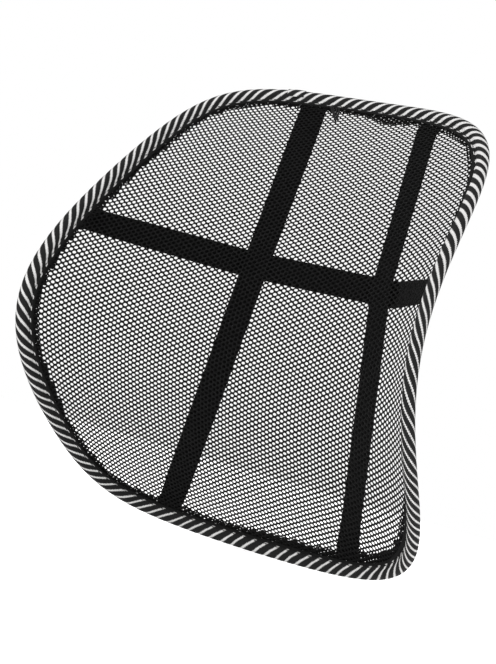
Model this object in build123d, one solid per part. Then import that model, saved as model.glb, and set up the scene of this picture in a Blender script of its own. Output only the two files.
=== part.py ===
from build123d import *
import math
import os

# Lumbar support cushion: a bent spring-wire ring in a padded, bound edge, an open mesh panel stretched
# over it, two upright straps that draw the ring into its bow, and an elastic cross strap for the chair.
# Millimetres, +Z up, -Y the side that the user leans on, X across the back. The origin is the centre
# of the whole object's box.

os.makedirs("parts", exist_ok=True)

# ---- shape of the ring and of the taut panel inside it ----
# A point of the panel has a radius from 0 (middle) to 1 (ring) and an angle from 0 (top) towards +X.
# Each coordinate is a short series of (radius**k) * sin or cos(k * angle), which is how a taut film
# spans a ring. The first terms set the size; the later ones square, taper and bow the ring.
ACROSS = (184, -21.5, 20.5, -5, 2, -2.5)
BOW = (14, 4.5, 69.5, -10, -12.5, 6, 1)
HEIGHT = (2, 197.5, 0.5, -12.5, -4, -1.5, 1.5)

# ---- edge: wire, foam, binding ----
WIRE_RADIUS = 1.8
WIRE_GAP = 2
FERRULE_RADIUS = 2.7
FERRULE_LENGTH = 36
FERRULE_CLEARANCE = 0.1
FOAM_RADIUS = 4.2
BINDING_RADIUS = 4.9
TAB_RADIUS = 5.5
TAB_LENGTH = 14
TAB_FROM_TOP_CENTRE = -66

# ---- hem: two selvages of the binding tape with the mesh edge between them ----
MESH_THICKNESS = 0.6
HEM_THICKNESS = 0.8
LAYER_CLEARANCE = 0.15
HEM_OUTER_INSET = 5.4
HEM_INNER_INSET = 9.2
MESH_EDGE_INSET = 7.2
SEAM_INSET = 7
SEAM_CLEARANCE = 0.2
THREAD_RADIUS = 0.3

# ---- straps ----
STRAP_WIDTH = 22
STRAP_THICKNESS = 1.2
STRAP_TAB_INSET = 6.5
STRAP_LEAVES_INSET = 12
STRAP_CLEARANCE = 0.8
# Along the ring from its top centre and from its bottom centre, for the left and the right upright.
UPRIGHT_TOPS = (-50, 67)
UPRIGHT_BOTTOMS = (-83, 102)
UPRIGHT_TURNED = 0.12
UPRIGHT_TILT = math.radians(20)
CROSSINGS_ACROSS = (-55.5, 62.5)
CROSSING_FORWARD = 5
CROSS_END = 295
CROSS_HEIGHT = 35.5
CROSS_BEND = 9
CROSS_GAP = 4.8
GRIP_HALF_WIDTH = 48

# ---- how finely the curved pieces are sampled ----
ARC_STATIONS = 20
HEM_STATIONS = 28
PANEL_STATIONS = 29
PANEL_TOLERANCE = 0.01
ANGLE_STEP = 0.001


def panel_point(radius, angle):
    x = sum(c * radius**k * math.sin(k * angle) for k, c in enumerate(ACROSS, 1))
    y = sum(c * radius**k * math.cos(k * angle) for k, c in enumerate(BOW))
    z = sum(c * radius**k * math.cos(k * angle) for k, c in enumerate(HEIGHT))
    return Vector(x, y, z)


def along(radius, angle):
    return (panel_point(radius, angle + ANGLE_STEP) - panel_point(radius, angle - ANGLE_STEP)).normalized()


def outward(angle):
    step = panel_point(1, angle) - panel_point(1 - ANGLE_STEP, angle)
    tangent = along(1, angle)
    return (step - tangent * step.dot(tangent)).normalized()


def backward(radius, angle):
    step = panel_point(radius + ANGLE_STEP, angle) - panel_point(radius - ANGLE_STEP, angle)
    normal = step.cross(along(radius, angle)).normalized()
    return normal if normal.Y > 0 else normal * -1


def inset_radius(inset, angle):
    """The panel radius that lies a given number of millimetres inside the ring."""
    step = panel_point(1, angle) - panel_point(1 - ANGLE_STEP, angle)
    return 1 - inset * ANGLE_STEP / step.dot(outward(angle))


def inset_point(inset, angle, behind=0):
    radius = inset_radius(inset, angle)
    return panel_point(radius, angle) + backward(radius, angle) * behind


def angle_at(distance):
    """The ring angle a given distance along the ring from the top centre, positive towards +X."""
    angle = 0.0
    left = abs(distance)
    while left > 0:
        left -= (panel_point(1, angle + ANGLE_STEP) - panel_point(1, angle)).length
        angle += ANGLE_STEP
    return math.copysign(angle, distance)


RING_LENGTH = sum(
    (panel_point(1, 2 * math.pi * (i + 1) / 720) - panel_point(1, 2 * math.pi * i / 720)).length
    for i in range(720)
)


def two_arcs(start, start_way, end, end_way):
    """Two circular arcs that join two points smoothly."""
    chord = end - start
    ways = start_way + end_way
    bend = 2 * (1 - start_way.dot(end_way))
    reach = (math.sqrt(chord.dot(ways) ** 2 + bend * chord.dot(chord)) - chord.dot(ways)) / bend
    before = start + start_way * reach
    after = end - end_way * reach
    middle = (before + after) * 0.5
    return [
        Edge.make_tangent_arc(start, start_way, middle),
        Edge.make_tangent_arc(middle, (after - before).normalized(), end),
    ]


def arc_path(first, last, stations, inset=0, behind=0):
    """A smooth run of arcs beside the ring between two angles."""
    edges = []
    for i in range(stations):
        spot = []
        for angle in (first + (last - first) * i / stations, first + (last - first) * (i + 1) / stations):
            here = inset_point(inset, angle, behind)
            near = inset_point(inset, angle + ANGLE_STEP, behind)
            far = inset_point(inset, angle - ANGLE_STEP, behind)
            spot += [here, (near - far).normalized()]
        edges += two_arcs(*spot)
    return Wire(edges)


def section_plane(path, angle):
    return Plane(origin=path.position_at(0), x_dir=outward(angle), z_dir=path.tangent_at(0))


def tube(path, angle, radius, bore=0):
    section = Circle(radius)
    if bore:
        section -= Circle(bore)
    return sweep(section_plane(path, angle) * section, path=path)


def layer_band(first, last, behind_from, behind_to):
    """A thin band of cloth beside the ring, between two angles and two depths."""
    sections = []
    for i in range(HEM_STATIONS + 1):
        angle = first + (last - first) * i / HEM_STATIONS
        outer = inset_point(HEM_OUTER_INSET, angle)
        inner = inset_point(HEM_INNER_INSET, angle)
        back = backward(inset_radius(HEM_INNER_INSET, angle), angle)
        corners = [
            outer + back * behind_from,
            inner + back * behind_from,
            inner + back * behind_to,
            outer + back * behind_to,
        ]
        sections.append(Wire.make_polygon(corners, close=True))
    return Solid.make_loft(sections)


def hem_layer(behind_from, behind_to):
    halves = [
        layer_band(0, math.pi, behind_from, behind_to),
        layer_band(math.pi, 2 * math.pi, behind_from, behind_to),
    ]
    return halves[0].fuse(halves[1])


def panel_grid(behind):
    """Points of one face of the mesh panel, square rows and columns drawn onto the round panel."""
    steps = [2 * i / (PANEL_STATIONS - 1) - 1 for i in range(PANEL_STATIONS)]
    grid = []
    for across in steps:
        row = []
        for up in steps:
            wide = across * math.sqrt(1 - up * up / 2)
            high = up * math.sqrt(1 - across * across / 2)
            angle = math.atan2(wide, high)
            radius = max(math.hypot(wide, high) * inset_radius(MESH_EDGE_INSET, angle), 2 * ANGLE_STEP)
            row.append(panel_point(radius, angle) + backward(radius, angle) * behind)
        grid.append(row)
    return grid


def mesh_solid():
    """The panel: a front face, a rear face and the narrow walls between their edges."""
    faces = [
        Face.make_surface_from_array_of_points(panel_grid(behind), tol=PANEL_TOLERANCE)
        for behind in (-MESH_THICKNESS / 2, MESH_THICKNESS / 2)
    ]
    rear_edges = list(faces[1].edges())
    for edge in faces[0].edges():
        partner = min(rear_edges, key=lambda other: (other.position_at(0.5) - edge.position_at(0.5)).length)
        faces.append(Face.make_surface_from_curves(edge, partner))
    return Solid(Shell(faces))


def webbing(stations):
    """A strap through a run of (point, width direction) stations, thick towards its rear, mitred at bends."""
    sections = []
    spots = [spot for spot, _ in stations]
    ways = [(after - before).normalized() for before, after in zip(spots, spots[1:])]
    for i, (spot, across) in enumerate(stations):
        sides = [across.cross(way).normalized() for way in ways[max(i - 1, 0) : i + 1]]
        mitre = sum(sides, Vector()).normalized()
        rear = mitre * (STRAP_THICKNESS / mitre.dot(sides[0]))
        half = across * (STRAP_WIDTH / 2)
        corners = [spot - half, spot + half, spot + half + rear, spot - half + rear]
        sections.append(Wire.make_polygon(corners, close=True))
    return Solid.make_loft(sections, ruled=True)


def hem_stations(distance, width_way):
    """Where a strap end lies on the back of the hem and where it leaves it."""
    angle = angle_at(distance)
    across = along(1, angle)
    if across.dot(width_way) < 0:
        across = across * -1
    behind = MESH_THICKNESS / 2 + HEM_THICKNESS + 2 * THREAD_RADIUS + STRAP_CLEARANCE
    return [(inset_point(inset, angle, behind), across) for inset in (STRAP_TAB_INSET, STRAP_LEAVES_INSET)]


parts = {}

# ---- wire ring and its ferrule, joined at the bottom centre ----
ring_path = arc_path(0, 2 * math.pi, ARC_STATIONS)
bottom_speed = (panel_point(1, math.pi + ANGLE_STEP) - panel_point(1, math.pi)).length / ANGLE_STEP
gap_angle = WIRE_GAP / 2 / bottom_speed
wire_path = arc_path(math.pi + gap_angle, 3 * math.pi - gap_angle, ARC_STATIONS)
parts["frame_wire"] = tube(wire_path, math.pi, WIRE_RADIUS)
ferrule_angle = FERRULE_LENGTH / 2 / bottom_speed
ferrule_path = arc_path(math.pi - ferrule_angle, math.pi + ferrule_angle, 1)
parts["wire_ferrule"] = tube(ferrule_path, math.pi, FERRULE_RADIUS, WIRE_RADIUS + FERRULE_CLEARANCE)

# ---- foam sleeve and binding ----
foam = tube(ring_path, 0, FOAM_RADIUS, WIRE_RADIUS)
room_angle = ferrule_angle + FERRULE_CLEARANCE / bottom_speed
room_path = arc_path(math.pi - room_angle, math.pi + room_angle, 1)
parts["edge_foam"] = foam - tube(room_path, math.pi, FERRULE_RADIUS + FERRULE_CLEARANCE)
parts["edge_binding"] = tube(ring_path, 0, BINDING_RADIUS, FOAM_RADIUS)
tab_start = angle_at(TAB_FROM_TOP_CENTRE - TAB_LENGTH / 2)
tab_end = angle_at(TAB_FROM_TOP_CENTRE + TAB_LENGTH / 2)
tab_path = arc_path(tab_start, tab_end, 1)
tab_ring = Circle(TAB_RADIUS) - Circle(BINDING_RADIUS)
tab_gap = Polygon((0, 0), (-2 * TAB_RADIUS, 2 * TAB_RADIUS), (-2 * TAB_RADIUS, -2 * TAB_RADIUS), align=None)
parts["binding_end_tab"] = sweep(section_plane(tab_path, tab_start) * (tab_ring - tab_gap), path=tab_path)

# ---- hem layers, mesh and the two seam threads ----
hem_from = MESH_THICKNESS / 2 + LAYER_CLEARANCE
hem_to = hem_from + HEM_THICKNESS
parts["hem_front"] = hem_layer(-hem_to, -hem_from)
parts["hem_back"] = hem_layer(hem_from, hem_to)
parts["mesh_panel"] = mesh_solid()
thread_depth = hem_to + THREAD_RADIUS + SEAM_CLEARANCE
for name, side in (("seam_thread_front", -1), ("seam_thread_back", 1)):
    thread_path = arc_path(0, 2 * math.pi, ARC_STATIONS, SEAM_INSET, side * thread_depth)
    parts[name] = tube(thread_path, 0, THREAD_RADIUS)

# ---- upright straps: sewn flat to the hem, outer edges tilted forward, drawn in at the cross strap ----
across_way = Vector(1, 0, 0)
crossings = []
for name, side, top_distance, bottom_distance, crossing_across in zip(
    ("left", "right"), (-1, 1), UPRIGHT_TOPS, UPRIGHT_BOTTOMS, CROSSINGS_ACROSS
):
    top = hem_stations(top_distance, across_way)
    bottom = hem_stations(side * RING_LENGTH / 2 - bottom_distance, across_way)
    leaves = [end[1][0] for end in (top, bottom)]
    share = (CROSS_HEIGHT - leaves[0].Z) / (leaves[1].Z - leaves[0].Z)
    straight = leaves[0] + (leaves[1] - leaves[0]) * share
    crossing = Vector(crossing_across, straight.Y - CROSSING_FORWARD, CROSS_HEIGHT)
    tilted = Vector(math.cos(UPRIGHT_TILT), -side * math.sin(UPRIGHT_TILT), 0)
    turned = [(spot + (crossing - spot) * UPRIGHT_TURNED, tilted) for spot in leaves]
    stations = [*top, turned[0], (crossing, tilted), turned[1], *bottom[::-1]]
    parts[f"strap_upright_{name}"] = webbing(stations)
    crossings.append(crossing)

# ---- cross strap: the middle that is pulled over a chair back, and the elastic span at each side ----
upwards = Vector(0, 0, 1)
cross_front = max(spot.Y for spot in crossings) + STRAP_THICKNESS + CROSS_GAP
for name, side, crossing in (("left", -1, crossings[0]), ("right", 1, crossings[1])):
    bend = Vector(crossing.X + side * CROSS_BEND, cross_front, CROSS_HEIGHT)
    grip_end = Vector(side * GRIP_HALF_WIDTH, cross_front, CROSS_HEIGHT)
    run = hem_stations(side * CROSS_END, upwards) + [(bend, upwards), (grip_end, upwards)]
    parts[f"strap_cross_span_{name}"] = webbing(run if side < 0 else run[::-1])
grip_ends = [Vector(side * GRIP_HALF_WIDTH, cross_front, CROSS_HEIGHT) for side in (-1, 1)]
parts["strap_cross_grip"] = webbing([(spot, upwards) for spot in grip_ends])

box = Compound(list(parts.values())).bounding_box()
print("object box centre", box.center(), "size", box.size)
for name, part in parts.items():
    print(name, round(part.volume), part.is_valid)
    export_step(part, f"parts/{name}.step")
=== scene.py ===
"""Looks of the lumbar support cushion: striped bound edge, open net, webbing and elastic straps.

Sizes are in millimetres until a mesh is made, in the frame of the CAD model: +Z up, -Y the side that
the user leans on, X across the back.
"""

import math

import bpy
import numpy as np
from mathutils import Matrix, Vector


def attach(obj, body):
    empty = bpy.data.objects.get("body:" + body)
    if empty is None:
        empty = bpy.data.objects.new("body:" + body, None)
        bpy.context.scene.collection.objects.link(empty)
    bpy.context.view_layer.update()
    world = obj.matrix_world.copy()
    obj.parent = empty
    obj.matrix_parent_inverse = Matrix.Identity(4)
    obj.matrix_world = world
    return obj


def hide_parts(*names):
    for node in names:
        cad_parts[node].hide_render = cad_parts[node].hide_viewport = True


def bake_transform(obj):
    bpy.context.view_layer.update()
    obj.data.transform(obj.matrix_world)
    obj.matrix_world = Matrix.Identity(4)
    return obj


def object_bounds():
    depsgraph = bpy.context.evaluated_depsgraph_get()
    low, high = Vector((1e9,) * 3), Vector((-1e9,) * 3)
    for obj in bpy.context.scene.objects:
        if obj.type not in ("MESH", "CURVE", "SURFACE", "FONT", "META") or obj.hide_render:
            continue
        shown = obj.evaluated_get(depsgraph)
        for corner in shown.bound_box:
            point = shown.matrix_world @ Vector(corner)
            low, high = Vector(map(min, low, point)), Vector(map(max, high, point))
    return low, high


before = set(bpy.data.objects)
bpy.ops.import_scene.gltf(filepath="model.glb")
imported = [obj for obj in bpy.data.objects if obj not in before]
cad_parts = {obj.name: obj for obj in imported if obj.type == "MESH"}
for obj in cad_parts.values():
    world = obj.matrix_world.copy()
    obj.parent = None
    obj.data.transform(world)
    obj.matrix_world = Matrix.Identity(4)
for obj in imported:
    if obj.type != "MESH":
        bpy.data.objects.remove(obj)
cad_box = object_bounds()

MM = 0.001
TAU = 2 * math.pi

# ---- ring and panel, as in the CAD model: series in radius**k * sin or cos(k * angle), k from 0 ----
ACROSS = (0, 184, -21.5, 20.5, -5, 2, -2.5)
BOW = (14, 4.5, 69.5, -10, -12.5, 6, 1)
HEIGHT = (2, 197.5, 0.5, -12.5, -4, -1.5, 1.5)
STEP = 0.001
# The search for a panel point: half sizes for the first guess, turns, longest step and largest radius.
PANEL_HALF = (175, 190)
SEARCH_TURNS = 12
SEARCH_STEP = 0.2
SEARCH_LIMIT = 1.12

# ---- striped binding tape ----
TUBE_RADIUS = 4.85
TUBE_HALF_TURN = math.radians(152)
TUBE_POINTS = 40
STATION_LENGTH = 1.0
STRIPES = 141
STRIPE_WHITE = 0.32
STRIPE_SOFTNESS = 0.05
STRIPE_EDGE = 0.03
# Where round the ring the white part is wider or narrower: (distance, reach, change of its share).
WHITE_CHANGES = ((150, 160, 0.08), (400, 130, -0.08), (760, 420, -0.08))
# The tape is turned on the tube at the right, so that its plain edge shows: where round the ring, how far to
# each side it starts and is full, and how wide it is.
PLAIN_INSIDE = (350, 215, 110, 8)
PLAIN_EDGE = 0.2
STRIPE_PITCH = 10
STRIPE_STEP = 0.8
STRIPE_LEAN = 1.22
# Where round the ring the stripes lean more or less: (distance, reach, change).
LEAN_CHANGES = (
    (200, 55, -0.35),
    (315, 45, 0.5),
    (440, 90, 0.8),
    (695, 60, -0.35),
    (880, 110, 0.3),
    (1045, 45, -0.2),
    (1225, 80, 0.35),
)
STRIPE_PAST_GROOVE = 1.3
STRIPE_RELIEF = 0.14
# The stripes' relief on the flat edges of the tape, as a share of that on its round part.
SELVAGE_RELIEF = 0.3
GROOVE_INSET = 6.1
GROOVE_REACH = 1.4
GROOVE_PULL = 0.12
STITCH_PITCH = 3.4
STITCH_LENGTH = 2.5
STITCH_OFF_NET = 1.1
STITCH_BOW = 0.4
THREAD_RADIUS = 0.28

# ---- the tape's folded-over end, and the loose ends of thread ----
END_FOLD_AT = -66
END_FOLD_LENGTH = 14
END_FOLD_RADIUS = 5.25
END_FOLD_THICKNESS = 0.4
END_FOLD_INSIDE = 0.3
END_FOLD_SWELL = 0.12
END_FOLD_HALF_TURN = 134
END_FOLD_POINTS = (15, 30)
# How far the end fold's stripes are out of step with those of the tape under it, in stripes.
END_FOLD_PHASE = 0.45
LOOSE_THREAD_RADIUS = 0.8

# ---- net ----
NET_COLUMNS = 74
NET_ROWS = 224
NET_PITCH_ACROSS = 6.75
NET_PITCH_UP = 3.9
RIM_POINTS = 12
NET_STRETCH = 0.0015
# Half the flat net across and up, for the shares in which its pull out of line is given.
NET_DRAWN_OVER = (170, 190)
# The holes' share of a cell, across and up.
NET_HOLE = (0.68, 0.57)
# Heights in the flat net, and how far its holes are pulled open there.
NET_OPENED = ((-170, -80, -30, 40), (0.91, 0.955, 0.97, 1.0))
TURNED_EDGE_HOLE = (0.34, 0.3)
TURNED_EDGE_WIDTH = 11.4
TURNED_EDGE_BEHIND = 0.85
TURNED_EDGE_UNEVENNESS = 3.0
# Where round the ring the turned-in edge is wider: (angle, reach, millimetres).
TURNED_EDGE_CHANGES = ((0.17, 0.1, 3.5), (2.62, 0.35, 4.5), (3.2, 0.5, 1.6), (4.6, 0.7, 1.0))
NET_HALF_THICKNESS = 0.3
NET_EDGE_INSET = 5.8
NET_FIRST_CELL_INSET = 7.0

# ---- straps, as in the CAD model ----
STRAP_WIDTH = 22
STRAP_THICKNESS = 1.2
STRAP_TAB_INSET = 6.5
STRAP_LEAVES_INSET = 12
STRAP_BEHIND = 2.5
STRAP_POINTS_ACROSS = 15
UPRIGHT_TOPS = (-50, 67)
UPRIGHT_BOTTOMS = (-83, 102)
UPRIGHT_TURNED = 0.12
UPRIGHT_TILT = math.radians(20)
CROSSINGS_ACROSS = (-55.5, 62.5)
CROSSING_FORWARD = 5
CROSS_END = 295
CROSS_HEIGHT = 35.5
CROSS_BEND = 9
CROSS_GAP = 4.8
GRIP_HALF_WIDTH = 48
STRAP_BULGE = 0.12
STRAP_BEAD = 0.1
STRAP_BEAD_INSET = 1.2
STRAP_BEAD_REACH = 0.5
TACK_DEPTHS = (0.9, 3.1)
TACK_COUNT = 6
TACK_FIRST = -8.4
TACK_PITCH = 3.0
TACK_LENGTH = 2.3
TACK_BOW = 0.22
TACK_RADIUS = 0.24

# ---- camera ----
CAMERA_PLACE = (0.66181, -1.08858, -0.12384)
CAMERA_TURN = (94.59, -16.129, 30.345)
CAMERA_LENS = 90.295


def unit(vectors):
    """The vectors, each brought to length 1."""
    return vectors / np.linalg.norm(vectors, axis=-1, keepdims=True)


def panel(radius, angle):
    """Points of the taut panel. radius is 0 in its middle and 1 at the ring; angle is 0 at the top."""
    radius, angle = np.broadcast_arrays(np.asarray(radius, float), np.asarray(angle, float))
    turns = [np.sin, np.cos, np.cos]
    return np.stack(
        [
            sum(c * radius**k * turn(k * angle) for k, c in enumerate(series))
            for series, turn in zip((ACROSS, BOW, HEIGHT), turns)
        ],
        axis=-1,
    )


def rear(radius, angle):
    """The panel's normal on its strap side."""
    outwards = panel(radius + STEP, angle) - panel(radius - STEP, angle)
    around = panel(radius, angle + STEP) - panel(radius, angle - STEP)
    normal = unit(np.cross(outwards, around))
    return normal * np.where(normal[..., 1:2] < 0, -1, 1)


FINE_ANGLES = np.linspace(0, TAU, 7201)
FINE_LENGTHS = np.concatenate(
    [[0], np.cumsum(np.linalg.norm(np.diff(panel(1, FINE_ANGLES), axis=0), axis=1))]
)
RING_LENGTH = FINE_LENGTHS[-1]


def angle_at(distance):
    """The ring angle at a distance along the ring from the top centre, positive towards +X."""
    whole, rest = np.divmod(distance, RING_LENGTH)
    return whole * TAU + np.interp(rest, FINE_LENGTHS, FINE_ANGLES)


def ring_frame(distance):
    """Centre of the ring wire and the unit directions along it, out of the panel's edge and to the rear."""
    angle = angle_at(distance)
    centre = panel(1, angle)
    along = unit(panel(1, angle + STEP) - panel(1, angle - STEP))
    step = centre - panel(1 - STEP, angle)
    outward = unit(step - along * np.sum(step * along, axis=-1, keepdims=True))
    return centre, along, outward, np.cross(outward, along)


def inset_scale(angle):
    """Millimetres of inset for one unit of radius, at the ring."""
    centre = panel(1, angle)
    along = unit(panel(1, angle + STEP) - panel(1, angle - STEP))
    step = centre - panel(1 - STEP, angle)
    across = step - along * np.sum(step * along, axis=-1, keepdims=True)
    return np.linalg.norm(across, axis=-1) / STEP


def new_piece(name, points, faces, maps=None):
    """A smooth mesh object from points in millimetres; maps are corner values by UV map name."""
    mesh = bpy.data.meshes.new(name)
    mesh.from_pydata((np.asarray(points) * MM).tolist(), [], [list(map(int, face)) for face in faces])
    for title, values in (maps or {}).items():
        layer = mesh.uv_layers.new(name=title)
        layer.data.foreach_set("uv", np.asarray(values, float).ravel())
    mesh.polygons.foreach_set("use_smooth", [True] * len(mesh.polygons))
    mesh.validate()
    piece = bpy.data.objects.new(name, mesh)
    bpy.context.scene.collection.objects.link(piece)
    return piece


def grid_faces(rows, columns, wrap_rows=True):
    """Quads of a grid whose columns wrap, and their corners' places in a grid one larger each way.

    The larger grid is for maps, which don't wrap.
    """
    row = np.arange(rows if wrap_rows else rows - 1)[:, None]
    column = np.arange(columns)[None, :]
    corners = [(row, column), (row, column + 1), (row + 1, column + 1), (row + 1, column)]
    shape = np.broadcast(row, column).shape
    faces = [np.broadcast_to((r % rows) * columns + c % columns, shape).ravel() for r, c in corners]
    places = [np.broadcast_to(r * (columns + 1) + c, shape).ravel() for r, c in corners]
    return np.stack(faces, axis=1), np.stack(places, axis=1)


# ---------------------------------------------------------------- binding tape and selvages


def ripple(distance, *waves):
    """A smooth irregular value round the ring, from (size, whole waves round the ring, phase) terms."""
    return sum(size * np.sin(TAU * count * distance / RING_LENGTH + phase) for size, count, phase in waves)


def stripe_lean(distance):
    """How far a stripe runs along the ring for each millimetre that it runs over the tape."""
    return STRIPE_LEAN + sum(
        change * np.exp(-(((distance - place) / reach) ** 2)) for place, reach, change in LEAN_CHANGES
    )


def stripe_phase(distance, across):
    """Counts stripes round the ring; across is the distance over the tape from the front groove."""
    wobble = ripple(distance, (0.05, 5, 0.3), (0.06, 13, 1.1), (0.05, 31, 2.0), (0.03, 57, 0.7))
    return distance * STRIPES / RING_LENGTH + wobble - stripe_lean(distance) * across * STRIPES / RING_LENGTH


def profile_lengths(profile):
    """Distances along a closed profile to each of its points and back to the first."""
    return np.append(0, np.cumsum(np.linalg.norm(np.diff(np.vstack([profile, profile[:1]]), axis=0), axis=1)))


def swept_tape(name, profile, relief, origin=0.0, way=1):
    """A closed profile of (outward, rearward) points swept round the ring, with raised dark stripes.

    origin is where the profile starts on the tape's width and way is 1 or -1 for how it runs over it.
    """
    count = round(RING_LENGTH / STATION_LENGTH)
    distance = np.linspace(0, RING_LENGTH, count + 1)
    profile = np.asarray(profile, float)
    across = origin + way * profile_lengths(profile)
    phase = stripe_phase(distance[:, None], across[None, :])
    lean = np.broadcast_to(stripe_lean(distance)[:, None], phase.shape)
    from_edge = STRIPE_WHITE / 2 + STRIPE_SOFTNESS - np.abs(phase % 1 - 0.5)
    white = np.clip(from_edge / (2 * STRIPE_SOFTNESS), 0, 1)[:-1, :-1]
    turned = np.roll(profile, -1, axis=0) - np.roll(profile, 1, axis=0)
    normal = unit(np.stack([turned[:, 1], -turned[:, 0]], axis=1))
    raised = (np.asarray(relief)[None, :] * (0.5 - white))[..., None] * normal[None]
    pull = np.clip(1 - np.abs(profile[:, 0] + GROOVE_INSET) / GROOVE_REACH, 0, 1)
    stitch = np.cos(TAU * distance[:-1] / STITCH_PITCH)
    raised[..., 1] -= np.sign(profile[:, 1]) * pull * GROOVE_PULL * (1 - stitch[:, None])
    offset = profile[None] + raised
    centre, _, outward, back = ring_frame(distance[:-1])
    points = centre[:, None] + offset[..., :1] * outward[:, None] + offset[..., 1:] * back[:, None]
    faces, places = grid_faces(count, len(profile))
    stripe = np.stack([phase, np.broadcast_to(across, phase.shape)], axis=-1).reshape(-1, 2)
    weave = np.stack([np.broadcast_to(distance[:, None], phase.shape), lean], axis=-1).reshape(-1, 2)
    maps = {"stripe": stripe[places.ravel()], "weave": weave[places.ravel()]}
    return new_piece(name, points.reshape(-1, 3), faces, maps)


TUBE_TURN = np.linspace(-TUBE_HALF_TURN, TUBE_HALF_TURN, TUBE_POINTS)
TAPE_EDGE = np.array([(-6.15, -1.05), (-5.7, -1.35), (-5.0, -1.85)])
TAPE_PROFILE = np.vstack(
    [
        TAPE_EDGE,
        np.stack([TUBE_RADIUS * np.cos(TUBE_TURN), TUBE_RADIUS * np.sin(TUBE_TURN)], axis=1),
        TAPE_EDGE[::-1] * (1, -1),
    ]
)
TAPE_WIDTH = profile_lengths(TAPE_PROFILE)[-2]
SELVAGE_PROFILE = np.array(
    [
        (-8.9, 0.42), (-6.2, 0.45), (-5.8, 0.8), (-5.95, 1.1), (-6.3, 1.12), (-6.7, 1.36), (-7.2, 1.38),
        (-7.6, 1.3), (-8.0, 1.36), (-8.4, 1.26), (-8.8, 1.3), (-9.15, 1.15), (-9.35, 0.85), (-9.15, 0.55),
    ]
)
SELVAGE_GROOVE = profile_lengths(SELVAGE_PROFILE)[3]


def binding_piece():
    """The tape over the foam, from the front groove round the outside to the rear groove."""
    inner = [(-5.5, 0.55), (-5.5, -0.55)]
    relief = np.concatenate([[0, 0.3, 0.7], np.ones(TUBE_POINTS), [0.7, 0.3, 0, 0, 0]]) * STRIPE_RELIEF
    return swept_tape("binding_tape", np.vstack([TAPE_PROFILE, inner]), relief)


def selvage_piece(name, side):
    """One flat edge of the tape, on the front (side -1) or the rear (side 1) of the net."""
    profile = SELVAGE_PROFILE * (1, side)
    relief = np.full(len(profile), STRIPE_RELIEF * SELVAGE_RELIEF)
    if side < 0:
        return swept_tape(name, profile, relief, SELVAGE_GROOVE, -1)
    return swept_tape(name, profile, relief, TAPE_WIDTH - SELVAGE_GROOVE, 1)


def rods(name, starts, ends, lift, radius, sides=6, rings=5):
    """Short bowed stitches from starts to ends, each lifted in its middle along lift."""
    starts, ends, lift = (np.asarray(a, float) for a in (starts, ends, lift))
    place = np.linspace(0, 1, rings)
    bow = np.sin(math.pi * place)
    width = radius * np.sqrt(np.clip(1 - (2 * place - 1) ** 4, 0.05, 1))
    way = unit(ends - starts)
    side = unit(np.cross(way, lift))
    up = np.cross(side, way)
    straight = starts[:, None] + (ends - starts)[:, None] * place[None, :, None]
    line = straight + lift[:, None] * bow[None, :, None]
    turn = TAU * np.arange(sides) / sides
    ring = side[:, None] * np.cos(turn)[None, :, None] + up[:, None] * np.sin(turn)[None, :, None]
    points = line[:, :, None] + ring[:, None] * width[None, :, None, None]
    quads = grid_faces(rings, sides, wrap_rows=False)[0]
    caps = [list(range(sides))[::-1], [(rings - 1) * sides + k for k in range(sides)]]
    faces = []
    for index in range(len(starts)):
        first = index * rings * sides
        faces += [[corner + first for corner in face] for face in [*quads.tolist(), *caps]]
    return new_piece(name, points.reshape(-1, 3), faces)


def seam_piece(name, side):
    """A row of stitches in the groove between the round and the flat part of the tape."""
    count = round(RING_LENGTH / STITCH_PITCH)
    middle = (np.arange(count) + 0.5) * RING_LENGTH / count
    ends = []
    for shift in (-STITCH_LENGTH / 2, STITCH_LENGTH / 2):
        centre, _, outward, back = ring_frame(middle + shift)
        ends.append(centre - outward * GROOVE_INSET + back * side * STITCH_OFF_NET)
    return rods(name, *ends, lift=ring_frame(middle)[3] * side * STITCH_BOW, radius=THREAD_RADIUS)


# ---------------------------------------------------------------- net


def panel_places(x, z):
    """Radius and angle of the panel's points with these x and z, by Newton's method."""
    wide, high = x / PANEL_HALF[0], z / PANEL_HALF[1]
    for _ in range(SEARCH_TURNS):
        spots = [(wide, high), (wide + STEP, high), (wide, high + STEP)]
        here, east, north = (panel(np.hypot(a, b), np.arctan2(a, b)) for a, b in spots)
        across, up = (east - here) / STEP, (north - here) / STEP
        miss_x, miss_z = x - here[..., 0], z - here[..., 2]
        scale = across[..., 0] * up[..., 2] - up[..., 0] * across[..., 2]
        step_wide = (miss_x * up[..., 2] - miss_z * up[..., 0]) / scale
        step_high = (miss_z * across[..., 0] - miss_x * across[..., 2]) / scale
        wide = wide + np.clip(step_wide, -SEARCH_STEP, SEARCH_STEP)
        high = high + np.clip(step_high, -SEARCH_STEP, SEARCH_STEP)
        shrink = np.minimum(1, SEARCH_LIMIT / np.maximum(np.hypot(wide, high), STEP))
        wide, high = wide * shrink, high * shrink
    return np.hypot(wide, high), np.arctan2(wide, high)


def cloth_ruler(x, z, stretch):
    """Cloth lengths along a line of the panel from its middle; stretch grows from one side to the other."""
    line = x + z
    radius, angle = panel_places(x, z)
    slope = np.gradient(panel(np.minimum(radius, 1), angle)[:, 1], line)
    lengths = np.append(0, np.cumsum(np.sqrt(1 + slope[1:] ** 2) * np.diff(line) / (1 + stretch * line[1:])))
    return lengths - np.interp(0, line, lengths)


PANEL_LINE = np.linspace(-205, 205, 411)
RULER_ACROSS = cloth_ruler(PANEL_LINE, np.zeros_like(PANEL_LINE), NET_STRETCH)
RULER_UP = cloth_ruler(np.zeros_like(PANEL_LINE), PANEL_LINE, 0)


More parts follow.
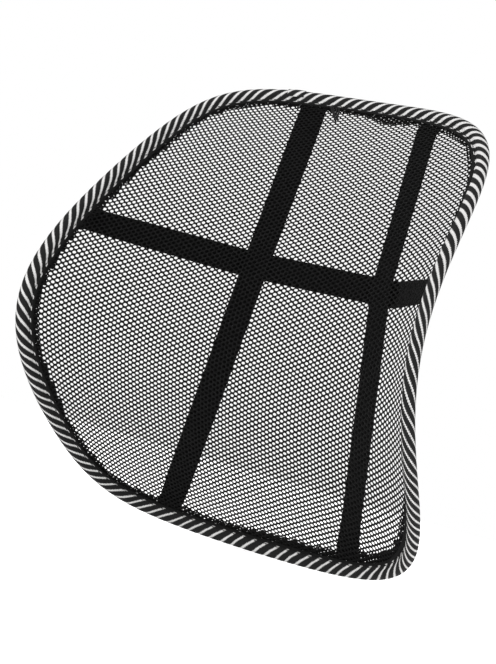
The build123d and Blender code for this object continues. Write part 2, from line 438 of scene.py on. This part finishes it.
def drawn(across, up):
    """The net's weave after it is pulled out of line by the bowed ring."""
    a, u = across / NET_DRAWN_OVER[0], up / NET_DRAWN_OVER[1]
    east = 17 * u**2 - 3 * u**3 + 5 * a * u + 2 * a * u**2 - 2.5 * a**2 + 13 * a**2 * u + 9 * a**3
    north = -3 * u - 8 * u**3 + 9 * a + 4 * a * u - 9 * a * u**2 - 5.5 * a**2 + 13 * a**2 * u - 2.5 * a**3
    return across + east, up + north


def cloth_to_panel(across, up):
    """Where a point of the flat net comes to lie on the bowed panel."""
    across, up = drawn(across, up)
    return panel_places(np.interp(across, RULER_ACROSS, PANEL_LINE), np.interp(up, RULER_UP, PANEL_LINE))


def waver(across, up, amount=1.0):
    """Small uneven shifts of the knitted cells."""
    east = 0.16 * np.sin(across / 3.1 + up / 7.7) + 0.14 * np.sin(across / 17 - up / 23 + 1)
    north = 0.12 * np.sin(across / 5.3 - up / 2.9 + 2) + 0.2 * np.sin(across / 29 + up / 13)
    return across + amount * east, up + amount * north


def net_layer(behind, keep, hole=NET_HOLE, origin=(0, 0), unevenness=1.0):
    """Hexagonal cells round elliptical holes, as points and faces of a closed two-sided net.

    keep says which cells are there, from their inset and angle; hole is the holes' share of a cell.
    """
    columns, rows = NET_COLUMNS, NET_ROWS
    column, row = np.meshgrid(np.arange(columns), np.arange(rows), indexing="ij")
    odd = row % 2
    across = (column - columns / 2 + 0.5 * odd) * NET_PITCH_ACROSS + origin[0]
    up = (row - rows / 2) * NET_PITCH_UP / 2 + origin[1]
    tip = NET_PITCH_ACROSS / 3
    turn = TAU * np.arange(RIM_POINTS) / RIM_POINTS
    hole_x = np.cos(turn) * tip * hole[0]
    hole_z = np.sin(turn) * NET_PITCH_UP / 2 * hole[1]
    radius, angle = cloth_to_panel(*waver(across, up, unevenness))
    inset = (1 - radius) * inset_scale(angle)
    inside = keep(inset, angle) & (column > 0) & (column < columns - 1) & (row > 0) & (row < rows - 1)
    cell_column, cell_row = np.nonzero(inside)
    cell_odd = cell_row % 2
    cell_id = np.arange(len(cell_row))

    def corner(which, column_at, row_at):
        return (column_at * rows + row_at) * 2 + which

    right, left = cell_column + cell_odd, cell_column + cell_odd - 1
    corners = np.stack(
        [
            corner(0, cell_column, cell_row), corner(1, right, cell_row + 1), corner(0, left, cell_row + 1),
            corner(1, cell_column, cell_row), corner(0, left, cell_row - 1), corner(1, right, cell_row - 1),
        ],
        axis=1,
    )
    used, corners = np.unique(corners, return_inverse=True)
    corners = corners.reshape(-1, 6)
    which, place = used % 2, used // 2
    corner_x = across.ravel()[place] + np.where(which == 0, tip, -tip)
    corner_z = up.ravel()[place]
    opened = np.interp(up[inside], *NET_OPENED)[:, None]
    rim_x = (across[inside][:, None] + hole_x[None] * opened).ravel()
    rim_z = (up[inside][:, None] + hole_z[None] * opened).ravel()
    points = []
    faces_apart = (-NET_HALF_THICKNESS, NET_HALF_THICKNESS)
    for x, z, lifts in ((corner_x, corner_z, faces_apart), (rim_x, rim_z, (0,))):
        radius, angle = cloth_to_panel(*waver(x, z, unevenness))
        radius = np.minimum(radius, 1 - NET_EDGE_INSET / inset_scale(angle))
        points += [panel(radius, angle) + rear(radius, angle) * (behind + lift) for lift in lifts]
    rim = 2 * len(used) + cell_id[:, None] * RIM_POINTS + np.arange(RIM_POINTS)[None]
    faces = []
    for side in range(6):
        nearest = [rim[:, (2 * side + k) % RIM_POINTS] for k in (2, 1, 0)]
        here, after = corners[:, side], corners[:, (side + 1) % 6]
        faces.append(np.stack([here, after, *nearest], axis=1))
        faces.append(np.stack([after + len(used), here + len(used), *nearest[::-1]], axis=1))
    starts, ends = corners.ravel(), np.roll(corners, -1, axis=1).ravel()
    pairs = set(zip(starts.tolist(), ends.tolist()))
    open_edges = [(a, b) for a, b in pairs if (b, a) not in pairs]
    walls = [[b, a, a + len(used), b + len(used)] for a, b in sorted(open_edges)]
    return np.vstack(points), [*np.vstack(faces).tolist(), *walls]


def turned_edge_width(angle):
    """How far the net's turned-in edge reaches from the ring."""
    angle = angle % TAU
    wider = sum(
        size * np.exp(-(((angle - place) / reach) ** 2)) for place, reach, size in TURNED_EDGE_CHANGES
    )
    return TURNED_EDGE_WIDTH + wider + 0.5 * np.sin(3 * angle + 0.4) + 0.8 * np.sin(17 * angle)


def net_piece():
    """The net, with its turned-in edge as a second layer just behind the first."""
    first, first_faces = net_layer(0, lambda inset, angle: inset > NET_FIRST_CELL_INSET)
    second, second_faces = net_layer(
        TURNED_EDGE_BEHIND,
        lambda inset, angle: (inset > NET_FIRST_CELL_INSET) & (inset < turned_edge_width(angle)),
        hole=TURNED_EDGE_HOLE,
        origin=(0, NET_PITCH_UP / 2),
        unevenness=TURNED_EDGE_UNEVENNESS,
    )
    moved = [[corner + len(first) for corner in face] for face in second_faces]
    return new_piece("mesh_net", np.vstack([first, second]), first_faces + moved)


# ---------------------------------------------------------------- straps


def softened(stations, spacing=2.0, reach=8):
    """Evenly spaced stations along straight runs, with each bend and twist eased over a few millimetres."""
    points = np.array([point for point, _ in stations])
    ways = np.array([way for _, way in stations])
    lengths = np.append(0, np.cumsum(np.linalg.norm(np.diff(points, axis=0), axis=1)))
    count = max(int(lengths[-1] / spacing), 4)
    place = np.linspace(0, lengths[-1], count + 1)
    line, width_way = (
        np.stack([np.interp(place, lengths, values[:, k]) for k in range(3)], axis=1)
        for values in (points, ways)
    )
    for values in (line, width_way):
        for _ in range(reach):
            values[1:-1] = (values[:-2] + 2 * values[1:-1] + values[2:]) / 4
    return place, line, unit(width_way)


def strap_piece(name, stations):
    """A strap through (point, width direction) stations, which lie on its front face."""
    place, line, width_way = softened(stations)
    way = unit(np.gradient(line, axis=0))
    back = unit(np.cross(width_way, way))
    half, edge = STRAP_WIDTH / 2, STRAP_THICKNESS / 2
    flat = np.linspace(-half + edge, half - edge, STRAP_POINTS_ACROSS)
    bead = STRAP_BEAD * np.exp(-(((np.abs(flat) - half + STRAP_BEAD_INSET) / STRAP_BEAD_REACH) ** 2))
    end_turn = np.linspace(-math.pi / 2, math.pi / 2, 5)[1:-1]
    right = np.stack([half - edge + edge * np.cos(end_turn), edge + edge * np.sin(end_turn)], axis=1)
    left = np.stack([-half + edge - edge * np.cos(end_turn), edge - edge * np.sin(end_turn)], axis=1)
    front = np.stack([flat, -bead + STRAP_BULGE * (1 - (flat / half) ** 2)], axis=1)
    behind = np.stack([flat[::-1], STRAP_THICKNESS + bead[::-1]], axis=1)
    profile = np.vstack([front, right, behind, left])
    across = profile_lengths(profile)
    narrow = 1 + 0.006 * np.sin(place / 19) + 0.004 * np.sin(place / 7.3 + 1)
    sideways = profile[None, :, 0] * narrow[:, None]
    points = line[:, None] + sideways[..., None] * width_way[:, None] + profile[None, :, 1:] * back[:, None]
    rows, columns = len(line), len(profile)
    faces, places = grid_faces(rows, columns, wrap_rows=False)
    weave = np.stack(np.meshgrid(np.append(place, place[-1]), across, indexing="ij"), axis=-1).reshape(-1, 2)
    corners = weave[places.ravel()]
    caps = [list(range(columns))[::-1], [(rows - 1) * columns + k for k in range(columns)]]
    cap_corners = np.vstack([weave[:columns][::-1], weave[(rows - 1) * (columns + 1) :][:columns]])
    maps = {"weave": np.vstack([corners, cap_corners])}
    return new_piece(name, points.reshape(-1, 3), faces.tolist() + caps, maps)


def hem_stations(distance, width_way):
    """Where a strap end lies on the rear of the hem and where it leaves it."""
    angle = angle_at(np.array([float(distance)]))
    along = ring_frame(np.array([float(distance)]))[1][0]
    across = along if along @ width_way > 0 else -along
    scale = inset_scale(angle)
    stations = []
    for inset in (STRAP_TAB_INSET, STRAP_LEAVES_INSET):
        radius = 1 - inset / scale
        stations.append(((panel(radius, angle) + rear(radius, angle) * STRAP_BEHIND)[0], across))
    return stations


RIGHT = np.array([1.0, 0, 0])
UP = np.array([0, 0, 1.0])


def upright_stations(which):
    """Stations of the left (0) or right (1) upright, and its crossing with the cross strap."""
    top = hem_stations(UPRIGHT_TOPS[which], RIGHT)
    bottom = hem_stations((-1, 1)[which] * RING_LENGTH / 2 - UPRIGHT_BOTTOMS[which], RIGHT)
    leaves = [end[1][0] for end in (top, bottom)]
    share = (CROSS_HEIGHT - leaves[0][2]) / (leaves[1][2] - leaves[0][2])
    straight = leaves[0] + (leaves[1] - leaves[0]) * share
    crossing = np.array([CROSSINGS_ACROSS[which], straight[1] - CROSSING_FORWARD, CROSS_HEIGHT])
    tilted = np.array([math.cos(UPRIGHT_TILT), (1, -1)[which] * math.sin(UPRIGHT_TILT), 0])
    turned = [(spot + (crossing - spot) * UPRIGHT_TURNED, tilted) for spot in leaves]
    return [*top, turned[0], (crossing, tilted), turned[1], *bottom[::-1]], crossing


def cross_stations(crossings):
    """Stations of the two spans, each from the hem to the grip, and of the grip between them."""
    depth = max(spot[1] for spot in crossings) + STRAP_THICKNESS + CROSS_GAP
    spans = []
    for side, crossing in zip((-1, 1), crossings):
        bend = np.array([crossing[0] + side * CROSS_BEND, depth, CROSS_HEIGHT])
        grip_end = np.array([side * GRIP_HALF_WIDTH, depth, CROSS_HEIGHT])
        spans.append(hem_stations(side * CROSS_END, UP) + [(bend, UP), (grip_end, UP)])
    grip = [(np.array([side * GRIP_HALF_WIDTH, depth, CROSS_HEIGHT]), UP) for side in (-1, 1)]
    return spans, grip


def tack_stitches(ends):
    """Two rows of stitches that hold each strap end on the hem, on the side away from the net."""
    starts, stops, lifts = [], [], []
    for (tab, across), (leaves, _) in ends:
        inward = unit(leaves - tab)
        back = unit(np.cross(across, inward))
        back = back if back[1] > 0 else -back
        for depth in TACK_DEPTHS:
            for slot in range(TACK_COUNT):
                sideways = across * (TACK_FIRST + slot * TACK_PITCH)
                start = tab + inward * depth + sideways + back * (STRAP_THICKNESS + TACK_RADIUS / 2)
                starts.append(start)
                stops.append(start + across * TACK_LENGTH)
                lifts.append(back * TACK_BOW)
    return rods("strap_tack_stitches", starts, stops, lifts, radius=TACK_RADIUS)


# ---------------------------------------------------------------- small cloth pieces


def end_tab_piece():
    """The tape's folded-over end, a second turn of tape round the tube."""
    long, round_tube = END_FOLD_POINTS
    place = END_FOLD_AT + np.linspace(-0.5, 0.5, long) * END_FOLD_LENGTH
    turn = np.radians(np.linspace(-END_FOLD_HALF_TURN, END_FOLD_HALF_TURN, round_tube))
    grow = END_FOLD_RADIUS + END_FOLD_SWELL * np.sin(np.linspace(0, math.pi, long))
    centre, _, outward, back = ring_frame(place)
    layers = []
    for lift in (-END_FOLD_INSIDE, END_FOLD_THICKNESS):
        size = (grow + lift)[:, None, None]
        spots = outward[:, None] * np.cos(turn)[None, :, None] + back[:, None] * np.sin(turn)[None, :, None]
        layers.append(centre[:, None] + spots * size)
    closed = np.concatenate([layers[1], layers[0][:, ::-1]], axis=1)
    rows, columns = closed.shape[:2]
    faces, places = grid_faces(rows, columns, wrap_rows=False)
    across = (np.concatenate([turn, turn[::-1], turn[:1]]) + TUBE_HALF_TURN) * TUBE_RADIUS
    distances = np.append(place, place[-1])[:, None]
    phase = stripe_phase(distances, across[None, :]) + END_FOLD_PHASE
    lean = np.broadcast_to(stripe_lean(distances), phase.shape)
    stripe = np.stack([phase, np.broadcast_to(across, phase.shape)], axis=-1).reshape(-1, 2)
    weave = np.stack([np.broadcast_to(distances, phase.shape), lean], axis=-1).reshape(-1, 2)
    caps = [list(range(columns))[::-1], [(rows - 1) * columns + k for k in range(columns)]]
    cap_places = [list(range(columns))[::-1], [(rows - 1) * (columns + 1) + k for k in range(columns)]]
    order = np.concatenate([places.ravel(), *cap_places])
    maps = {"stripe": stripe[order], "weave": weave[order]}
    return new_piece("binding_end_fold", closed.reshape(-1, 3), faces.tolist() + caps, maps)


# Loose ends of sewing thread in front of the net, by the left upright's top: each is the points of one
# thread as (distance along the ring, inset, height in front of the net).
LOOSE_THREADS = (
    ((-31, 9, 1.6), (-29, 13, 2.6), (-26, 18, 2.4), (-23, 23.5, 1.0)),
    ((-33, 9, 1.6), (-30.5, 13.5, 2.2), (-27, 17.5, 2.6), (-24, 22, 1.2)),
    ((-28, 9, 1.6), (-26, 13, 2.4), (-25, 17, 2.0), (-22.5, 20, 1.0)),
    ((-25.5, 9, 1.5), (-23.5, 13.5, 2.2), (-23.5, 18.5, 1.6), (-22, 21.5, 1.0)),
)


def tail_points(places):
    """Points of a loose thread in the frame."""
    points = []
    for distance, inset, height in places:
        angle = angle_at(float(distance))
        radius = 1 - inset / inset_scale(angle)
        points.append(panel(radius, angle) - rear(radius, angle) * height)
    return points


def thread_tail(name, points):
    """A loose end of sewing thread, as a curve."""
    curve = bpy.data.curves.new(name, "CURVE")
    curve.dimensions = "3D"
    curve.bevel_depth = LOOSE_THREAD_RADIUS * MM
    curve.bevel_resolution = 2
    curve.use_fill_caps = True
    spline = curve.splines.new("NURBS")
    spline.points.add(len(points) - 1)
    for spot, point in zip(spline.points, points):
        spot.co = (*(np.asarray(point) * MM), 1)
    spline.order_u = 3
    spline.use_endpoint_u = True
    tail = bpy.data.objects.new(name, curve)
    bpy.context.scene.collection.objects.link(tail)
    return tail


# ---------------------------------------------------------------- materials


def feed(tree, socket, value):
    """Links a socket to another socket, or sets it to a plain value."""
    if isinstance(value, bpy.types.NodeSocket):
        tree.links.new(value, socket)
    else:
        socket.default_value = value


def maths(tree, operation, *values):
    """The result of a maths node, whose values are numbers or sockets."""
    made = tree.nodes.new("ShaderNodeMath")
    made.operation = operation
    for socket, value in zip(made.inputs, values):
        feed(tree, socket, value)
    return made.outputs[0]


def ranged(tree, value, low, high, to_low=0.0, to_high=1.0):
    """value, with low to high spread smoothly over to_low to to_high."""
    made = tree.nodes.new("ShaderNodeMapRange")
    made.interpolation_type = "SMOOTHSTEP"
    for name, number in (("From Min", low), ("From Max", high), ("To Min", to_low), ("To Max", to_high)):
        made.inputs[name].default_value = number
    feed(tree, made.inputs["Value"], value)
    return made.outputs[0]


def blended(tree, share, first, second):
    """A colour between two, by share; each is a colour or a socket."""
    made = tree.nodes.new("ShaderNodeMix")
    made.data_type = "RGBA"
    feed(tree, made.inputs["Factor"], share)
    feed(tree, [s for s in made.inputs if s.name == "A" and s.type == "RGBA"][0], first)
    feed(tree, [s for s in made.inputs if s.name == "B" and s.type == "RGBA"][0], second)
    return [s for s in made.outputs if s.type == "RGBA"][0]


def uneven(tree, scale, detail=3.0):
    """Cloudy variation from 0 to 1 over the surface, with scale features in each metre."""
    place = tree.nodes.new("ShaderNodeTexCoord")
    made = tree.nodes.new("ShaderNodeTexNoise")
    made.inputs["Scale"].default_value = scale
    made.inputs["Detail"].default_value = detail
    tree.links.new(place.outputs["Object"], made.inputs["Vector"])
    return made.outputs["Fac"]


def map_values(tree, title):
    """The two values of a UV map."""
    made = tree.nodes.new("ShaderNodeUVMap")
    made.uv_map = title
    split = tree.nodes.new("ShaderNodeSeparateXYZ")
    tree.links.new(made.outputs[0], split.inputs[0])
    return split.outputs["X"], split.outputs["Y"]


def wave(tree, value, pitch):
    """A wave from -1 to 1 that repeats every pitch of value."""
    return maths(tree, "SINE", maths(tree, "MULTIPLY", value, TAU / pitch))


def grey(level, warmth=0.0):
    """A grey, with a little more red than blue where it is warm."""
    return (level * (1 + warmth), level, level * (1 - warmth), 1)


def new_material(name, roughness, specular=0.04):
    """A material, its node tree and its shader."""
    material = bpy.data.materials.new(name)
    material.use_nodes = True
    shader = material.node_tree.nodes["Principled BSDF"]
    shader.inputs["Roughness"].default_value = roughness
    shader.inputs["Specular IOR Level"].default_value = specular
    return material, material.node_tree, shader


def bumped(tree, shader, height, size):
    """Feeds a height of -1 to 1 to the shader's normal, size in metres."""
    bump = tree.nodes.new("ShaderNodeBump")
    bump.inputs["Strength"].default_value = 1.0
    bump.inputs["Distance"].default_value = size
    tree.links.new(height, bump.inputs["Height"])
    tree.links.new(bump.outputs[0], shader.inputs["Normal"])


def striped_fabric(name):
    """Diagonal off-white stripes with woven steps on charcoal tape; its plain selvages are the tape's own
    dark edge, painted darker still with shade along the net.
    """
    material, tree, shader = new_material(name, 0.8, 0.08)
    phase, across = map_values(tree, "stripe")
    distance, lean = map_values(tree, "weave")
    step = maths(tree, "SUBTRACT", maths(tree, "FRACT", maths(tree, "DIVIDE", across, STRIPE_STEP)), 0.5)
    shifted = maths(tree, "MULTIPLY", maths(tree, "MULTIPLY", step, lean), STRIPE_STEP / STRIPE_PITCH)
    fuzz = maths(tree, "MULTIPLY", maths(tree, "SUBTRACT", uneven(tree, 1400, 2), 0.5), 0.12)
    stepped = maths(tree, "ADD", maths(tree, "ADD", phase, shifted), fuzz)
    away = maths(tree, "ABSOLUTE", maths(tree, "SUBTRACT", maths(tree, "FRACT", stepped), 0.5))
    for place, reach, change in WHITE_CHANGES:
        far = maths(tree, "ABSOLUTE", maths(tree, "SUBTRACT", distance, place))
        away = maths(tree, "SUBTRACT", away, ranged(tree, far, 0, reach, change / 2, 0))
    white = ranged(tree, away, STRIPE_WHITE / 2 + STRIPE_EDGE, STRIPE_WHITE / 2 - STRIPE_EDGE)
    first, last = -STRIPE_PAST_GROOVE, TAPE_WIDTH + STRIPE_PAST_GROOVE
    place, reach, full, width = PLAIN_INSIDE
    far = maths(tree, "ABSOLUTE", maths(tree, "SUBTRACT", distance, place))
    from_plain = maths(tree, "SUBTRACT", across, ranged(tree, far, reach, full, 0, width))
    striped = maths(
        tree,
        "MULTIPLY",
        ranged(tree, from_plain, first - PLAIN_EDGE, first + PLAIN_EDGE),
        ranged(tree, across, last + PLAIN_EDGE, last - PLAIN_EDGE),
    )
    white = maths(tree, "MULTIPLY", white, striped)
    yarns = maths(tree, "MULTIPLY", wave(tree, phase, 0.09), 0.6)
    relief = maths(tree, "ADD", wave(tree, across, STRIPE_STEP), yarns)
    # The off-white and the charcoal are each painted darker in the weave's low parts: painted shade in the
    # weave's hollows.
    pale = blended(tree, ranged(tree, relief, -1.6, 0.4), grey(0.34, 0.01), grey(0.68, 0.01))
    dark = blended(tree, ranged(tree, relief, -1.6, 0.8), grey(0.004), grey(0.016))
    dark = blended(tree, ranged(tree, uneven(tree, 60), 0.35, 0.65), dark, grey(0.011))
    # Where the tape is plain it is darker than the charcoal. That is its own dark selvage plus painted shade
    # along the net.
    dark = blended(tree, striped, grey(0.005), dark)
    feed(tree, shader.inputs["Base Color"], blended(tree, white, dark, pale))
    feed(tree, shader.inputs["Roughness"], ranged(tree, white, 0, 1, 0.72, 0.9))
    bumped(tree, shader, relief, 0.00006)
    return material


def woven_fabric(name, along_pitch, across_pitch, dark, pale, size=0.00012, twill=0.0):
    """A black woven tape with crossing yarns; twill slants the pattern into fine diagonals."""
    material, tree, shader = new_material(name, 0.7)
    along, across = map_values(tree, "weave")
    slanted = maths(tree, "ADD", along, maths(tree, "MULTIPLY", across, twill))
    relief = maths(tree, "ADD", wave(tree, slanted, along_pitch), wave(tree, across, across_pitch))
    # The colour is painted darker in the weave's low parts, as painted shade in its hollows, and it also
    # varies at random in tone.
    shade = maths(tree, "ADD", maths(tree, "MULTIPLY", relief, 0.2), uneven(tree, 90))
    feed(tree, shader.inputs["Base Color"], blended(tree, ranged(tree, shade, 0.1, 0.95), dark, pale))
    feed(tree, shader.inputs["Roughness"], ranged(tree, uneven(tree, 400), 0.3, 0.7, 0.6, 0.8))
    bumped(tree, shader, relief, size)
    return material


def plain_material(name, dark, pale, scale, roughness, specular=0.04, size=0.00005, metal=0.0):
    """A material with fine cloudy colour, roughness and bump, for yarn, foam and steel."""
    material, tree, shader = new_material(name, roughness, specular)
    shader.inputs["Metallic"].default_value = metal
    cloud = uneven(tree, scale)
    feed(tree, shader.inputs["Base Color"], blended(tree, ranged(tree, cloud, 0.3, 0.7), dark, pale))
    feed(tree, shader.inputs["Roughness"], ranged(tree, cloud, 0.2, 0.8, roughness - 0.08, roughness + 0.08))
    bumped(tree, shader, cloud, size)
    return material


# ---------------------------------------------------------------- the pieces

tape_fabric = striped_fabric("striped_binding_fabric")
net_yarn = plain_material("net_yarn", grey(0.003), grey(0.009), 700, 0.6)
thread_yarn = plain_material("sewing_thread", grey(0.008), grey(0.02), 2500, 0.5)
webbing_weave = woven_fabric("webbing_weave", 1.5, 1.1, grey(0.0015), grey(0.005), twill=0.5)
elastic_weave = woven_fabric("elastic_weave", 1.0, 1.25, grey(0.0015), grey(0.005))
steel = plain_material("spring_steel", grey(0.45), grey(0.6), 300, 0.3, 0.5, 0.00001, 1.0)
foam = plain_material("sleeve_foam", grey(0.03), grey(0.06), 1500, 0.9, size=0.0001)


def finish_piece(piece, slot, material, *nodes, body="cushion"):
    """Gives a piece its material, hides the CAD parts that it stands for and parents it to the body that it
    rides on, if one is given.
    """
    piece.data.materials.append(material)
    if nodes:
        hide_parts(*nodes)
    if body:
        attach(piece, body)
    return piece


binding = finish_piece(binding_piece(), "binding", tape_fabric, "edge_binding")
finish_piece(end_tab_piece(), "binding", tape_fabric, "binding_end_tab")
selvage_front = finish_piece(selvage_piece("selvage_front", -1), "selvage", tape_fabric, "hem_front")
selvage_back = finish_piece(selvage_piece("selvage_back", 1), "selvage", tape_fabric, "hem_back")
finish_piece(seam_piece("seam_stitches_front", -1), "thread", thread_yarn, "seam_thread_front")
finish_piece(seam_piece("seam_stitches_back", 1), "thread", thread_yarn, "seam_thread_back")
net = finish_piece(net_piece(), "mesh", net_yarn, "mesh_panel")

strap_ends = []
crossings = []
for which, name in enumerate(("left", "right")):
    stations, crossing = upright_stations(which)
    strap = strap_piece(f"webbing_upright_{name}", stations)
    finish_piece(strap, "webbing", webbing_weave, f"strap_upright_{name}")
    strap_ends += [(stations[0], stations[1]), (stations[-1], stations[-2])]
    crossings.append(crossing)

spans, grip_stations = cross_stations(crossings)
for name, stations in zip(("left", "right"), spans):
    run = stations if name == "left" else stations[::-1]
    span = strap_piece(f"elastic_span_{name}", run)
    finish_piece(span, "elastic", elastic_weave, f"strap_cross_span_{name}", body=None)
    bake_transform(span)
    strap_ends.append((stations[0], stations[1]))
grip = strap_piece("elastic_grip", grip_stations)
finish_piece(grip, "elastic", elastic_weave, "strap_cross_grip", body="strap_grip")
finish_piece(tack_stitches(strap_ends), "thread", thread_yarn)
for count, places in enumerate(LOOSE_THREADS, 1):
    tail = thread_tail(f"loose_thread_{count}", tail_points(places))
    finish_piece(tail, "thread", thread_yarn)

for node, material in (("frame_wire", steel), ("wire_ferrule", steel), ("edge_foam", foam)):
    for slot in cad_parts[node].material_slots:
        slot.material = material

# ---------------------------------------------------------------- floor, light and camera


def stage_plane(name, size, place, colour, glow):
    """A large pale level plane that isn't part of the object."""
    bpy.ops.mesh.primitive_plane_add(size=size, location=place)
    plane = bpy.context.object
    plane.name = name
    material = bpy.data.materials.new(name)
    material.use_nodes = True
    shader = material.node_tree.nodes["Principled BSDF"]
    shader.inputs["Base Color"].default_value = colour
    shader.inputs["Roughness"].default_value = 0.9
    shader.inputs["Emission Color"].default_value = (1, 1, 1, 1)
    shader.inputs["Emission Strength"].default_value = glow
    plane.data.materials.append(material)


def soft_light(name, place, power, size):
    """An area light that faces the object's middle."""
    lamp = bpy.data.lights.new(name, "AREA")
    lamp.energy = power
    lamp.size = size
    light = bpy.data.objects.new(name, lamp)
    light.location = place
    light.rotation_euler = (-Vector(place)).to_track_quat("-Z", "Y").to_euler()
    bpy.context.scene.collection.objects.link(light)


floor_height = cad_box[0][2] - 0.001
stage_plane("floor", 40, (0, 0, floor_height), (0.9, 0.9, 0.9, 1), 0.5)
world = bpy.data.worlds.new("studio")
world.use_nodes = True
world.node_tree.nodes["Background"].inputs["Color"].default_value = (1, 1, 1, 1)
world.node_tree.nodes["Background"].inputs["Strength"].default_value = 1.0
bpy.context.scene.world = world
soft_light("key", (-0.9, -1.6, 1.6), 22, 1.2)
soft_light("fill", (1.8, -1.2, 0.6), 8, 1.4)

camera_data = bpy.data.cameras.new("camera")
camera_data.lens = CAMERA_LENS
camera_data.clip_start = 0.05
camera = bpy.data.objects.new("camera", camera_data)
camera.location = CAMERA_PLACE
camera.rotation_euler = [math.radians(degrees) for degrees in CAMERA_TURN]
bpy.context.scene.collection.objects.link(camera)
bpy.context.scene.camera = camera
bpy.context.scene.view_settings.view_transform = "Standard"
